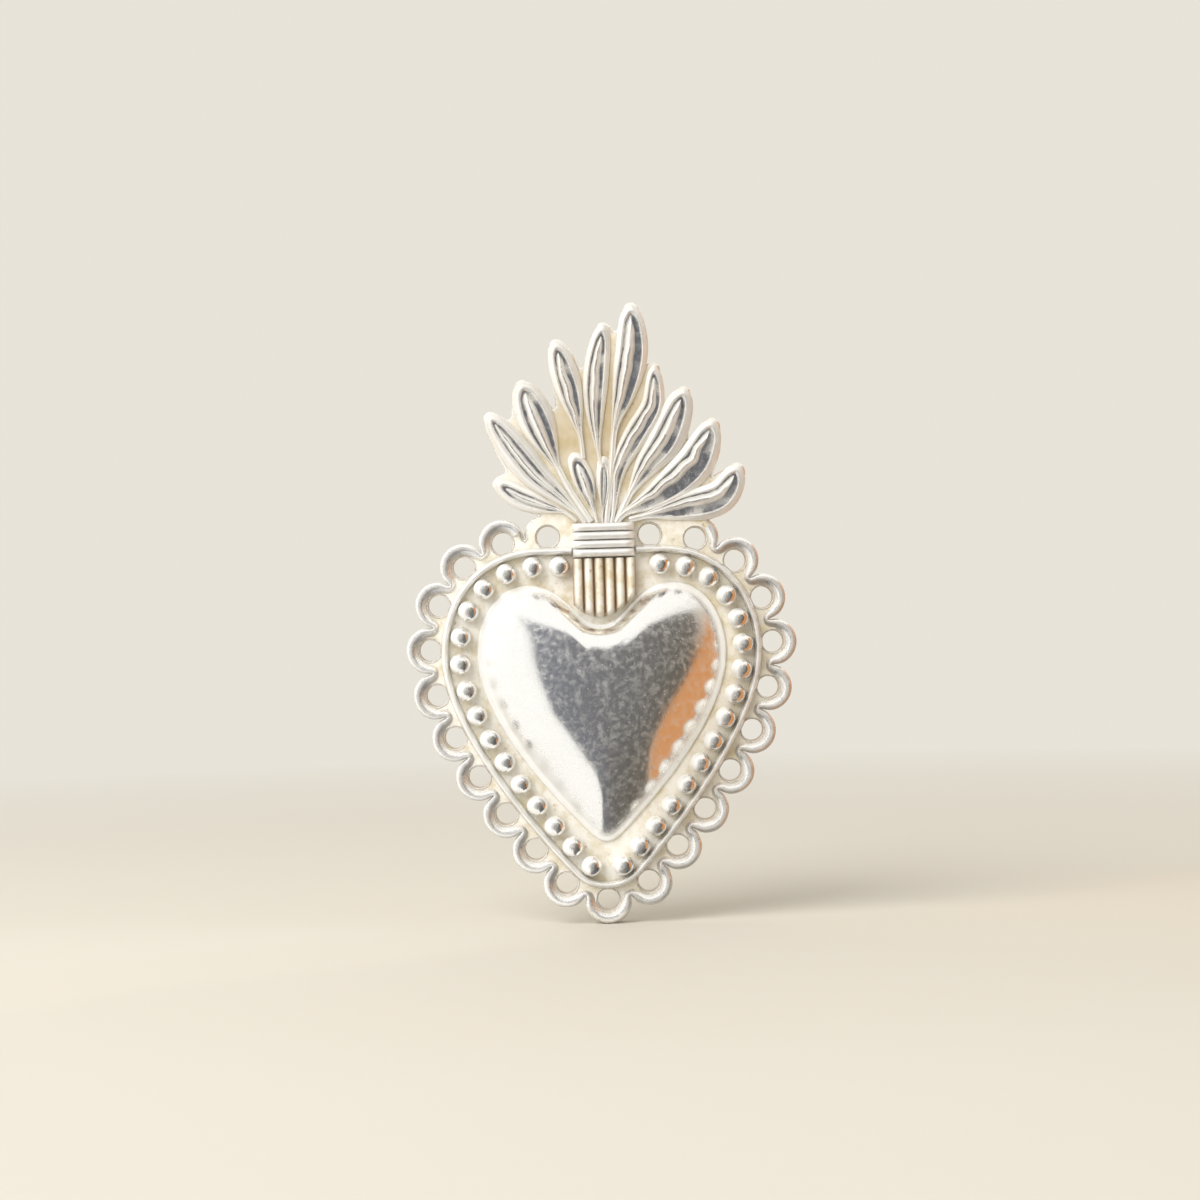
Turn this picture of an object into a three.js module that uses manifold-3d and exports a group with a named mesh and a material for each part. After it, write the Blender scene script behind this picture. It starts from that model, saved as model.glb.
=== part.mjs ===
// Sacred heart medal in silver: a pierced back plate carries a hollow heart, a beaded and wired border,
// a reeded stem with its collar, and a crest of separate flame tongues.
// It is drawn lying face up, with x to the right, y towards the flames and z out of its face,
// and the last lines stand it up with its face towards -Y and its back on the XZ plane.
import * as THREE from "three";
import { mergeVertices } from "three/addons/utils/BufferGeometryUtils.js";
import Module from "manifold-3d";

// Driving dimensions in millimetres
const PLATE_THICKNESS = 0.9;

// The rim line, which the whole border follows: half of a heart with a flat top
const RIM_TOP = 6.65;
const RIM_FLAT = 2.6;
const RIM_HALF_WIDTH = 6.53;
const RIM_WIDEST = 2.4;
const RIM_FOOT = -7.3;
const RIM_FOOT_ROUND = 1.3;
const RIM_FOOT_RISE = 0.58;
const RIM_WIDTH = 0.28;
const RIM_HEIGHT = 0.42;

// The lace: round holes in scallops, with a raised lip
const HOLE_RADIUS = 0.45;
const HOLE_TO_RIM = 0.03;
const HOLE_PITCH = 1.92;
const FIRST_HOLE = 2.13;
const SCALLOP_RADIUS = 0.98;
const LACE_WIDTH = 0.28;
const LACE_HEIGHT = 0.2;
const LACE_NOTCH_WIDTH = 0.15;
const LACE_NOTCH_ROUND = 0.04;
const LACE_END_SHARE = 0.35;

// The two rows of beads
const BEAD_RADIUS = 0.45;
const BEAD_SEAT_RADIUS = 0.36;
const BEAD_TO_RIM = 0.04;
const BEADS_PER_ROW = 16;
const FIRST_BEAD_LEFT = 0.1;
const FIRST_BEAD_RIGHT = 0.56;
const FOOT_BEADS_APART = 0.5;

// The hollow heart
const DOME_HEIGHT = 2.05;
const DOME_WALL = 0.45;
const DOME_FLANGE = 0.25;
const DOME_FLANGE_THICKNESS = 0.15;
const DOME_FLANGE_SLOPE = 0.03;
const DOME_TO_BEADS = 0.25;
const DOME_TIP_TO_BEADS = 0.55;
const DOME_CLEFT_DEPTH = 1.75;
const DOME_LOBE_X = 2.92;
const DOME_CROWN_BELOW_LOBES = 3.95;
const DOME_WIDEST_BELOW_RIM = 0.1;
const DOME_TIP_ROUND = 0.4;
const DOME_TIP_RISE = 0.3;
const DOME_ROUNDING = 1.3;
const DOME_FULLNESS = 2.2;

// The stem and its collar, a little to the right of the middle as they were set by hand
const CREST_X = 0.2;
const STEM_WIDTH = 2.62;
const STEM_REEDS = 6;
const STEM_BASE = 0.35;
const STEM_REED_HEIGHT = 0.3;
const STEM_TO_HEART = 0.3;
const COLLAR_WIDTH = 2.58;
const COLLAR_LENGTH = 1.42;
const COLLAR_BELOW_RIM = 0.28;
const COLLAR_RIDGES = 4;
const COLLAR_BASE = 0.62;
const COLLAR_RIDGE_HEIGHT = 0.22;
const SOLDER_GAP = 0.05;

// The flames
const TONGUE_HEIGHT = 0.45;
const TONGUE_MARGIN = 0.32;
const FLAME_TIP = 0.42;
const FLAME_ROUND = 0.2;
const ROUND_LIMIT = 0.48;
const TONGUE_ROOT_SHARE = 0.28;
const TONGUE_TIP_SHARE = 0.25;
const TONGUE_LOW_SHARE = 0.35;
const TONGUE_SWELL = 1.3;

// The flames are drawn on a grid of this pitch, from the middle of the collar's top edge
const FLAME_GRID = 1.0;

// Outer tongues from left to right.
// A spine runs from root to tip, and the notch lies to the right of the tip.
// A belly swells the edge of the floor to the left or to the right of the tip.
const OUTER_TONGUES = [
  {
    spine: [[-1.6, 0.5], [-2.4, 0.75], [-3.4, 1.15], [-4.25, 1.7]],
    width: 0.7,
    notch: [-3.95, 2.2],
    leftBelly: 0.4,
  },
  {
    spine: [[-1.0, 0.4], [-1.8, 1.2], [-2.9, 2.25], [-4.55, 4.45]],
    width: 1.05,
    notch: [-3.75, 4.35],
    leftBelly: 0.2,
  },
  { spine: [[-1.85, 2.45], [-2.45, 3.85], [-3.2, 5.75]], width: 1.25, notch: [-1.85, 4.75] },
  {
    spine: [[-0.85, 3.7], [-1.2, 5.35], [-1.75, 7.4]],
    width: 0.9,
    notch: [-0.75, 6.4],
    rightBelly: 0.2,
  },
  { spine: [[-0.1, 2.95], [-0.2, 4.7], [-0.1, 6.35], [0.2, 8.05]], width: 0.8, notch: [0.75, 7.9] },
  {
    spine: [[0.6, 3.9], [1.05, 5.5], [1.4, 7.15], [1.4, 8.85]],
    width: 1.1,
    notch: [1.85, 6.5],
    rightBelly: 0.6,
  },
  {
    spine: [[0.45, 0.45], [0.7, 2.2], [1.45, 3.6], [2.2, 4.85], [2.3, 6.3]],
    width: 0.75,
    notch: [2.75, 4.85],
  },
  { spine: [[1.2, 1.25], [1.85, 2.3], [2.75, 3.5], [3.5, 5.3]], width: 1.25, notch: [3.65, 3.25] },
  {
    spine: [[0.95, 0.4], [2.3, 1.1], [3.85, 2.35], [4.65, 3.95]],
    width: 1.3,
    notch: [4.55, 1.8],
    rightBelly: 0.4,
  },
  {
    spine: [[1.8, 0.25], [3.3, 0.55], [4.9, 0.95], [5.65, 2.05]],
    width: 1.15,
    notch: [4.45, 0.0],
    rightBelly: 1.0,
  },
];
const INNER_TONGUES = [
  { spine: [[-0.35, 0.45], [-0.65, 1.5], [-1.1, 2.75]], width: 0.6 },
  { spine: [[0.0, 0.45], [0.1, 1.55], [0.1, 2.55]], width: 0.4 },
];
const FLAME_LEFT_ROOT = [-2.55, 0.35];
const FLAME_ROOT_DEPTH = 0.6;

// How finely curves are drawn
const RIM_STEPS = 64;
const SCALLOP_STEPS = 9;
const HOLE_STEPS = 14;
const BEAD_SIDES = 10;
const BEAD_BANDS = 4;
const HEART_STEPS = [9, 9, 15, 2];
const DOME_BANDS = 8;
const DOME_INSIDE_BANDS = 6;
const TONGUE_STEPS = 11;
const REED_STEPS = 3;
const WELD = 1e-4;

// Places that follow from the driving dimensions
const PLATE_FACE = PLATE_THICKNESS;
const HOLE_OFFSET = RIM_WIDTH / 2 + HOLE_TO_RIM + HOLE_RADIUS;
const BEAD_OFFSET = -(RIM_WIDTH / 2 + BEAD_TO_RIM + BEAD_RADIUS);
const BEAD_INNER_EDGE = BEAD_RADIUS - BEAD_OFFSET;
const COLLAR_BOTTOM = RIM_TOP - COLLAR_BELOW_RIM;
const COLLAR_TOP = COLLAR_BOTTOM + COLLAR_LENGTH;

const wasm = await Module();
wasm.setup();

const POLISHED = { color: 0xdad9d4, roughness: 0.18, metalness: 1 };
const MATT = { color: 0xe6e1d4, roughness: 0.5, metalness: 1 };
const medal = new THREE.Group();

// Names a geometry as a piece of the medal and gives it its own finish
function addPiece(name, geometry, finish) {
  const mesh = new THREE.Mesh(geometry, new THREE.MeshStandardMaterial(finish));
  mesh.name = name;
  medal.add(mesh);
}

const numbered = (name, index) => `${name}_${String(index + 1).padStart(2, "0")}`;

// A closed geometry as a solid that can be joined and cut
function toSolid(geometry) {
  const bare = geometry.clone();
  bare.deleteAttribute("normal");
  bare.deleteAttribute("uv");
  const merged = mergeVertices(bare, WELD);
  const triVerts = new Uint32Array(merged.index.array);
  return new wasm.Manifold(
    new wasm.Mesh({ numProp: 3, vertProperties: merged.attributes.position.array, triVerts }),
  );
}

// A solid as a geometry again
function toGeometry(solid) {
  const mesh = solid.getMesh();
  const geometry = new THREE.BufferGeometry();
  geometry.setAttribute("position", new THREE.BufferAttribute(mesh.vertProperties, 3));
  geometry.setIndex(new THREE.BufferAttribute(mesh.triVerts, 1));
  geometry.computeVertexNormals();
  return geometry;
}

// A closed skin over a row of rings, each counter-clockwise about the way the row goes, capped at both ends
function loft(rings, firstCap, lastCap) {
  const sides = rings[0].length;
  const points = [...rings.flat(), firstCap, lastCap];
  const first = points.length - 2;
  const last = points.length - 1;
  const end = (rings.length - 1) * sides;
  const faces = [];
  for (let side = 0; side < sides; side++) {
    const next = (side + 1) % sides;
    faces.push(first, next, side);
    for (let low = 0; low < end; low += sides) {
      const high = low + sides;
      faces.push(low + side, low + next, high + next);
      faces.push(low + side, high + next, high + side);
    }
    faces.push(last, end + side, end + next);
  }
  const geometry = new THREE.BufferGeometry().setFromPoints(points);
  geometry.setIndex(faces);
  geometry.computeVertexNormals();
  return geometry;
}

// How far up a strip's end its cap has its middle
const CAP_RISE = 0.4;

// A strip on the plate's face: each station has a place, the way to one side, a half width and a height
function strip(stations, section) {
  const rings = stations.map(({ place, side, halfWidth, height }) =>
    section.map(([across, up]) => {
      const spot = place.clone().addScaledVector(side, across * halfWidth);
      return new THREE.Vector3(spot.x, spot.y, PLATE_FACE + up * height);
    }),
  );
  const capOf = ({ place, height }) => new THREE.Vector3(place.x, place.y, PLATE_FACE + CAP_RISE * height);
  return loft(rings, capOf(stations[0]), capOf(stations.at(-1)));
}

// Sections across a strip, from one foot over the top to the other, as shares of half width and height
const HALF_ROUND = [[-1, 0], [-0.75, 0.66], [0, 1], [0.75, 0.66], [1, 0]];
const LEAF_SIDE = [[0.3, 0.88], [0.55, 0.3], [0.88, 0.6], [1, 0]];
const RIBBED_LEAF = [...LEAF_SIDE.map(([across, up]) => [-across, up]).reverse(), [0, 1], ...LEAF_SIDE];

const vec = (x, y) => new THREE.Vector2(x, y);
const mirrored = (point) => vec(-point.x, point.y);
const rightOf = (way) => vec(way.y, -way.x);
const onGrid = ([x, y]) => vec(x, y).multiplyScalar(FLAME_GRID);

// Handles of a heart's curves, as shares of each curve's span
const BEND_SHARE = 0.58;
const FLANK_LEAVES = 0.3;
const FLANK_ARRIVES = { x: 0.44, y: 0.28 };
const FOOT_LEAVES = { x: 0.78, y: 0.45 };
const FOOT_ARRIVES = 0.47;
const CLEFT_LEAVES = 0.33;
const LOBE_ARRIVES = 0.55;

// A bend that leaves level and arrives upright
function shoulderBend(from, to) {
  const span = to.clone().sub(from);
  const level = vec(from.x + BEND_SHARE * span.x, from.y);
  const upright = vec(to.x, to.y - BEND_SHARE * span.y);
  return new THREE.CubicBezierCurve(from, level, upright, to);
}

// Lower part of a heart's right side: down the flank from its widest point and round the foot
function flankAndFoot(widest, footStart, foot) {
  const flank = widest.clone().sub(footStart);
  const round = footStart.clone().sub(foot);
  return [
    new THREE.CubicBezierCurve(
      widest,
      vec(widest.x, widest.y - FLANK_LEAVES * flank.y),
      footStart.clone().add(flank.clone().multiply(FLANK_ARRIVES)),
      footStart,
    ),
    new THREE.CubicBezierCurve(
      footStart,
      foot.clone().add(round.clone().multiply(FOOT_LEAVES)),
      vec(foot.x + FOOT_ARRIVES * round.x, foot.y),
      foot,
    ),
  ];
}

// Right half of the rim line, from the middle of the top to the foot
const rimLine = new THREE.CurvePath();
const shoulder = vec(RIM_FLAT, RIM_TOP);
const widest = vec(RIM_HALF_WIDTH, RIM_WIDEST);
rimLine.curves = [
  new THREE.LineCurve(vec(0, RIM_TOP), shoulder),
  shoulderBend(shoulder, widest),
  ...flankAndFoot(widest, vec(RIM_FOOT_ROUND, RIM_FOOT + RIM_FOOT_RISE), vec(0, RIM_FOOT)),
];

// A line beside the right half of the rim line, at a set distance outside it
class BesideRim extends THREE.Curve {
  constructor(offset) {
    super();
    this.offset = offset;
  }
  getPoint(t) {
    const inside = rightOf(rimLine.getTangentAt(t));
    return rimLine.getPointAt(t).addScaledVector(inside, -this.offset);
  }
  // Evenly spaced points between two distances along the line
  between(start, end, count) {
    const length = this.getLength();
    const spots = [];
    for (let i = 0; i < count; i++) {
      spots.push(this.getPointAt(THREE.MathUtils.lerp(start, end, i / (count - 1)) / length));
    }
    return spots;
  }
}

// Hole centres from the collar's left side round the foot to its right side
const holeLine = new BesideRim(HOLE_OFFSET);
const holeLineEnd = holeLine.getLength();
const holesPerSide = Math.round((holeLineEnd - FIRST_HOLE) / HOLE_PITCH);
const rightHoles = holeLine.between(FIRST_HOLE, holeLineEnd, holesPerSide + 1);
const holes = [...rightHoles.map(mirrored), ...rightHoles.slice(0, -1).reverse()];

// The middle of the lace's lip: an arc round each hole, and a small arc the other way in each notch,
// where the lip gets narrower
const lipRadius = SCALLOP_RADIUS - LACE_WIDTH / 2;
function notchAfter(index) {
  const half = holes[index + 1].clone().sub(holes[index]).multiplyScalar(0.5);
  const radius = Math.max(LACE_NOTCH_WIDTH / 2 + LACE_NOTCH_ROUND, half.length() - lipRadius);
  const rise = Math.sqrt(Math.max(0, (lipRadius + radius) ** 2 - half.lengthSq()));
  const centre = holes[index].clone().add(half).addScaledVector(rightOf(half).normalize(), rise);
  return { centre, radius };
}

const lacePath = [];
holes.forEach((hole, index) => {
  const before = index > 0 ? notchAfter(index - 1).centre.sub(hole) : vec(0, 1);
  const after = index < holes.length - 1 ? notchAfter(index).centre.sub(hole) : vec(0, 1);
  const start = before.angle();
  const turn = THREE.MathUtils.euclideanModulo(after.angle() - start, 2 * Math.PI);
  for (let i = 0; i <= SCALLOP_STEPS; i++) {
    const angle = start + (turn * i) / SCALLOP_STEPS;
    const side = vec(Math.cos(angle), Math.sin(angle));
    const place = hole.clone().addScaledVector(side, lipRadius);
    const width = i % SCALLOP_STEPS ? LACE_WIDTH : LACE_NOTCH_WIDTH;
    lacePath.push({ place, side, halfWidth: width / 2, at: index + i / SCALLOP_STEPS });
  }
  if (index < holes.length - 1) {
    const { centre, radius } = notchAfter(index);
    const side = rightOf(holes[index + 1].clone().sub(hole)).normalize();
    const place = centre.addScaledVector(side, -radius);
    lacePath.push({ place, side, halfWidth: LACE_NOTCH_WIDTH / 2, at: index + 1 });
  }
});

// A flat sheet of the plate's thickness
function sheet(outline, curveSegments = 4) {
  return new THREE.ExtrudeGeometry(outline, { depth: PLATE_THICKNESS, bevelEnabled: false, curveSegments });
}

// Outline of the flames' floor: blunt tip and notch in turn, corners rounded, some edges swelling
function flameFloor() {
  const corners = [{ at: onGrid(FLAME_LEFT_ROOT), belly: OUTER_TONGUES[0].leftBelly }];
  OUTER_TONGUES.forEach(({ spine, notch, rightBelly = 0 }, index) => {
    const tip = onGrid(spine.at(-1));
    const way = tip.clone().sub(onGrid(spine.at(-2))).normalize();
    const nextBelly = OUTER_TONGUES[index + 1]?.leftBelly ?? 0;
    const across = rightOf(way).multiplyScalar((FLAME_TIP * FLAME_GRID) / 2);
    tip.addScaledVector(way, TONGUE_MARGIN);
    corners.push({ at: tip.clone().sub(across), belly: 0 });
    corners.push({ at: tip.add(across), belly: rightBelly });
    corners.push({ at: onGrid(notch), belly: nextBelly });
  });
  const towards = (from, to, distance) => to.clone().sub(from).setLength(distance).add(from);
  const edge = (i) => corners[i].at.distanceTo(corners[i - 1].at);
  const roundAt = (i) => Math.min(FLAME_ROUND, ROUND_LIMIT * Math.min(edge(i), edge(i + 1)));
  const outline = new THREE.Shape();
  let leave = corners[0].at;
  outline.moveTo(leave.x, leave.y);
  for (let i = 1; i < corners.length; i++) {
    const from = corners[i - 1];
    const to = corners[i].at;
    const swell = rightOf(to.clone().sub(from.at)).setLength(-from.belly * FLAME_GRID);
    const middle = from.at.clone().add(to).multiplyScalar(0.5).add(swell);
    const round = i < corners.length - 1 ? roundAt(i) : 0;
    const arrive = towards(to, middle, round);
    if (from.belly) outline.quadraticCurveTo(middle.x, middle.y, arrive.x, arrive.y);
    else outline.lineTo(arrive.x, arrive.y);
    if (round) {
      const next = corners[i + 1].at;
      const out = rightOf(next.clone().sub(to)).setLength(-corners[i].belly * FLAME_GRID);
      leave = towards(to, to.clone().add(next).multiplyScalar(0.5).add(out), round);
      outline.quadraticCurveTo(to.x, to.y, leave.x, leave.y);
    }
  }
  const [left, right] = [corners[0].at, corners.at(-1).at];
  outline.lineTo(right.x, -FLAME_ROOT_DEPTH);
  outline.lineTo(left.x, -FLAME_ROOT_DEPTH);
  outline.closePath();
  return outline;
}

// Back plate: the lace and the flames' floor in one sheet, pierced with the holes
function backPlate() {
  const edge = lacePath.map(({ place, side, halfWidth }) => place.clone().addScaledVector(side, halfWidth));
  const floor = sheet(flameFloor()).translate(CREST_X, COLLAR_TOP, 0);
  let plate = toSolid(sheet(new THREE.Shape(edge))).add(toSolid(floor));
  for (const { x, y } of holes) {
    const drill = new THREE.CylinderGeometry(HOLE_RADIUS, HOLE_RADIUS, 3 * PLATE_THICKNESS, HOLE_STEPS);
    plate = plate.subtract(toSolid(drill.rotateX(Math.PI / 2).translate(x, y, 0)));
  }
  return toGeometry(plate);
}

// Lip of the lace, from the second hole on the left to where the flames cover the second on the right
function laceWire() {
  const end = holes.length - 2 + LACE_END_SHARE;
  const stations = lacePath
    .filter(({ at }) => at > 1 && at < end)
    .map((station) => ({ ...station, height: LACE_HEIGHT }));
  return strip(stations, HALF_ROUND);
}

// Rim wire, from one side of the collar round the foot to the other
function rimWire() {
  const length = rimLine.getLength();
  const reach = COLLAR_WIDTH / 2 + SOLDER_GAP;
  const half = (start) =>
    Array.from({ length: RIM_STEPS / 2 + 1 }, (_, i) => {
      const t = THREE.MathUtils.lerp(start / length, 1, (2 * i) / RIM_STEPS);
      const side = rightOf(rimLine.getTangentAt(t)).negate();
      return { place: rimLine.getPointAt(t), side, halfWidth: RIM_WIDTH / 2, height: RIM_HEIGHT };
    });
  const left = half(reach - CREST_X).map((station) => ({
    ...station,
    place: mirrored(station.place),
    side: mirrored(station.side),
  }));
  const right = half(reach + CREST_X).slice(0, -1).reverse();
  return strip([...left, ...right], HALF_ROUND);
}

// One bead: a ball with a flat seat
function bead() {
  const seatAngle = Math.acos(BEAD_SEAT_RADIUS / BEAD_RADIUS);
  const profile = [vec(0, 0)];
  for (let i = 0; i <= BEAD_BANDS; i++) {
    const angle = THREE.MathUtils.lerp(-seatAngle, Math.PI / 2, i / BEAD_BANDS);
    const height = BEAD_RADIUS * (Math.sin(angle) + Math.sin(seatAngle));
    profile.push(vec(i < BEAD_BANDS ? BEAD_RADIUS * Math.cos(angle) : 0, height));
  }
  return new THREE.LatheGeometry(profile, BEAD_SIDES).rotateX(Math.PI / 2).translate(0, 0, PLATE_FACE);
}

// One row of beads, from beside the stem to the foot
function beadRow(name, firstBead, flip) {
  const line = new BesideRim(BEAD_OFFSET);
  const end = line.getLength() - FOOT_BEADS_APART / 2 - BEAD_RADIUS;
  const start = firstBead + BEAD_RADIUS;
  line.between(start, end, BEADS_PER_ROW).forEach((spot, index) => {
    const { x, y } = flip ? mirrored(spot) : spot;
    addPiece(numbered(name, index), bead().translate(x, y, 0), POLISHED);
  });
}

// Outline of the dome's foot, counter-clockwise from its tip, and the middle of its crown
const domeInset = BEAD_INNER_EDGE + DOME_TO_BEADS + DOME_FLANGE;
const lobeTop = RIM_TOP - domeInset;
const domeTip = vec(0, RIM_FOOT + BEAD_INNER_EDGE + DOME_TIP_TO_BEADS + DOME_FLANGE);
const domeFlank = vec(RIM_HALF_WIDTH - domeInset, RIM_WIDEST - DOME_WIDEST_BELOW_RIM);
const domeCrown = vec(0, lobeTop - DOME_CROWN_BELOW_LOBES);
function heartOutline() {
  const lobe = vec(DOME_LOBE_X, lobeTop);
  const cleft = vec(0, lobeTop - DOME_CLEFT_DEPTH);
  const half = [
    new THREE.CubicBezierCurve(
      cleft,
      vec(CLEFT_LEAVES * lobe.x, cleft.y),
      vec((1 - LOBE_ARRIVES) * lobe.x, lobe.y),
      lobe,
    ),
    shoulderBend(lobe, domeFlank),
    ...flankAndFoot(domeFlank, vec(DOME_TIP_ROUND, domeTip.y + DOME_TIP_RISE), domeTip),
  ];
  const right = half.flatMap((curve, index) => curve.getPoints(HEART_STEPS[index]).slice(0, -1));
  const left = right.slice(1).map(mirrored);
  return [domeTip, ...right.reverse(), ...left];
}

// The outline as spokes from the crown, and their mean length
const heart = heartOutline().map((point) => point.sub(domeCrown));
const heartMean = heart.reduce((sum, spoke) => sum + spoke.length(), 0) / heart.length;

// The heart's outline grown outwards by a distance, at its full size
function heartGrown(distance) {
  return heart.map((spoke) => spoke.clone().setLength(spoke.length() + distance).add(domeCrown));
}

// Hollow heart: one skin from its ceiling down the inside, round the flange and up the outside to the crown
function heartDome() {
  const level = (points, z) => points.map(({ x, y }) => new THREE.Vector3(x, y, z));
  // The heart rises from its foot at a slope, and towards the crown its outline turns gradually into a circle
  const ringAt = (share, inset, base, height) => {
    const points = heart.map((spoke) => {
      const reach = THREE.MathUtils.lerp(heartMean, spoke.length(), share ** DOME_ROUNDING) - inset;
      return spoke.clone().setLength(share * reach).add(domeCrown);
    });
    return level(points, base + height * (1 - share ** DOME_FULLNESS));
  };
  const bands = (count) => Array.from({ length: count }, (_, i) => 1 - i / count);
  const base = PLATE_FACE + DOME_FLANGE_THICKNESS;
  const rise = DOME_HEIGHT - DOME_FLANGE_THICKNESS;
  const ceiling = DOME_HEIGHT - DOME_WALL;
  const outside = bands(DOME_BANDS).map((share) => ringAt(share, 0, base, rise));
  const inside = bands(DOME_INSIDE_BANDS).map((share) => ringAt(share, DOME_WALL, PLATE_FACE, ceiling));
  const flange = [
    level(heartGrown(DOME_FLANGE), PLATE_FACE),
    level(heartGrown(DOME_FLANGE - DOME_FLANGE_SLOPE), base),
  ];
  const crown = (height) => new THREE.Vector3(domeCrown.x, domeCrown.y, PLATE_FACE + height);
  return loft([...inside.reverse(), ...flange, ...outside], crown(ceiling), crown(DOME_HEIGHT));
}

// A bar's section: a flat base with half-round ridges side by side on it
function ridged(width, count, base, ridge) {
  const outline = new THREE.Shape();
  const half = width / count / 2;
  outline.moveTo(-width / 2, 0);
  outline.lineTo(width / 2, 0);
  outline.lineTo(width / 2, base);
  for (let i = 0; i < count; i++) {
    outline.absellipse(width / 2 - (2 * i + 1) * half, base, half, ridge, 0, Math.PI);
  }
  outline.closePath();
  return outline;
}

// Reeded stem, which ends beside the heart's flange in the cleft
function stem() {
  const section = ridged(STEM_WIDTH, STEM_REEDS, STEM_BASE, STEM_REED_HEIGHT);
  const top = COLLAR_BOTTOM - SOLDER_GAP;
  const depth = top - domeCrown.y;
  const bar = new THREE.ExtrudeGeometry(section, { depth, bevelEnabled: false, curveSegments: REED_STEPS });
  const tall = 2 * (STEM_BASE + STEM_REED_HEIGHT + PLATE_THICKNESS);
  const room = new THREE.Shape(heartGrown(DOME_FLANGE + STEM_TO_HEART));
  const cut = new THREE.ExtrudeGeometry(room, { depth: tall, bevelEnabled: false });
  const placed = bar.rotateX(Math.PI / 2).translate(CREST_X, top, PLATE_FACE);
  return toGeometry(toSolid(placed).subtract(toSolid(cut)));
}

// Collar with its ridges across the stem
function collar() {
  const section = ridged(COLLAR_LENGTH, COLLAR_RIDGES, COLLAR_BASE, COLLAR_RIDGE_HEIGHT);
  const bar = new THREE.ExtrudeGeometry(section, {
    depth: COLLAR_WIDTH,
    bevelEnabled: false,
    curveSegments: REED_STEPS,
  });
  const lengthwise = new THREE.Matrix4().makeBasis(
    new THREE.Vector3(0, 1, 0),
    new THREE.Vector3(0, 0, 1),
    new THREE.Vector3(1, 0, 0),
  );
  bar.applyMatrix4(lengthwise);
  return bar.translate(CREST_X - COLLAR_WIDTH / 2, COLLAR_BOTTOM + COLLAR_LENGTH / 2, PLATE_FACE);
}

// One flame tongue: a ribbed leaf along its spine, full in the middle and thin at root and tip
function tongue({ spine, width }) {
  const crest = vec(CREST_X, COLLAR_TOP);
  const line = new THREE.SplineCurve(spine.map((point) => onGrid(point).add(crest)));
  const stations = [];
  for (let i = 0; i <= TONGUE_STEPS; i++) {
    const t = i / TONGUE_STEPS;
    const swell = Math.sin(Math.PI * t ** TONGUE_SWELL);
    const least = THREE.MathUtils.lerp(TONGUE_ROOT_SHARE, TONGUE_TIP_SHARE, t);
    const fullness = THREE.MathUtils.lerp(least, 1, swell);
    stations.push({
      place: line.getPointAt(t),
      side: rightOf(line.getTangentAt(t)),
      halfWidth: (width / 2) * FLAME_GRID * fullness,
      height: TONGUE_HEIGHT * THREE.MathUtils.lerp(TONGUE_LOW_SHARE, 1, fullness),
    });
  }
  return strip(stations, RIBBED_LEAF);
}

// The pieces
addPiece("back_plate", backPlate(), MATT);
addPiece("lace_wire", laceWire(), POLISHED);
addPiece("rim_wire", rimWire(), POLISHED);
addPiece("heart_dome", heartDome(), POLISHED);
addPiece("stem", stem(), MATT);
addPiece("collar", collar(), POLISHED);
[...OUTER_TONGUES, ...INNER_TONGUES].forEach((shape, index) => {
  addPiece(numbered("flame_tongue", index), tongue(shape), POLISHED);
});
beadRow("bead_left", STEM_WIDTH / 2 - CREST_X + FIRST_BEAD_LEFT, true);
beadRow("bead_right", STEM_WIDTH / 2 + CREST_X + FIRST_BEAD_RIGHT, false);

// Standing up, face towards -Y
medal.rotation.x = Math.PI / 2;
const standing = new THREE.Group();
standing.add(medal);

export default standing;
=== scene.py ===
# %% [markdown]
# # A sacred heart medal in silver
# The medal is one pierced silver sheet. A hollow heart, two wires, two rows of beads, a stem with its collar and
# a crest of flame tongues are soldered on its face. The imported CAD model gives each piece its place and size.
# Here finer pieces take the same places, and they get two finishes: polished silver on what stands proud, and
# matt white silver in the recesses.

# %% Load the frame
import math
import random

import bmesh
import bpy
import numpy as np
from mathutils import Matrix, Vector, noise
from mathutils.geometry import interpolate_bezier


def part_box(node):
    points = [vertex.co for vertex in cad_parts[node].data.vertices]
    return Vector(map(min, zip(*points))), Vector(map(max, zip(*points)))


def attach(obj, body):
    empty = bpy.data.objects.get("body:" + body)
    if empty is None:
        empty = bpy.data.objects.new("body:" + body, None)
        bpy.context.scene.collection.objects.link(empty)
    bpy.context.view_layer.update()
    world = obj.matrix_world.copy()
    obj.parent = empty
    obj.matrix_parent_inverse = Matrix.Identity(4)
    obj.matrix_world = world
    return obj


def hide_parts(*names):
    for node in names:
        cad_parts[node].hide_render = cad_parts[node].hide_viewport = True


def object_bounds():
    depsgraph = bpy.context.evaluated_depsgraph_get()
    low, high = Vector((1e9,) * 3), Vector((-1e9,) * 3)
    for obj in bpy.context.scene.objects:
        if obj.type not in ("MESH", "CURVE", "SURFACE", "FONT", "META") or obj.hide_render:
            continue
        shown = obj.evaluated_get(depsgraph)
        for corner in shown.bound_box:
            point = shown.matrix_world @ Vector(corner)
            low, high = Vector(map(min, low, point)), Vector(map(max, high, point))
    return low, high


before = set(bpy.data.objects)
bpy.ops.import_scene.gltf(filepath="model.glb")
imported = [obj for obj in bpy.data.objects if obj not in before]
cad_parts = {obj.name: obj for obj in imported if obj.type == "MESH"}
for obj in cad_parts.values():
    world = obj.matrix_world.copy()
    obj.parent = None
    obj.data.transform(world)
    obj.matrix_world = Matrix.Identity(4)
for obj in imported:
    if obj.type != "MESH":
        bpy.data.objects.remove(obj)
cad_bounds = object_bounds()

print("CAD nodes:", len(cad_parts))

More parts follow.
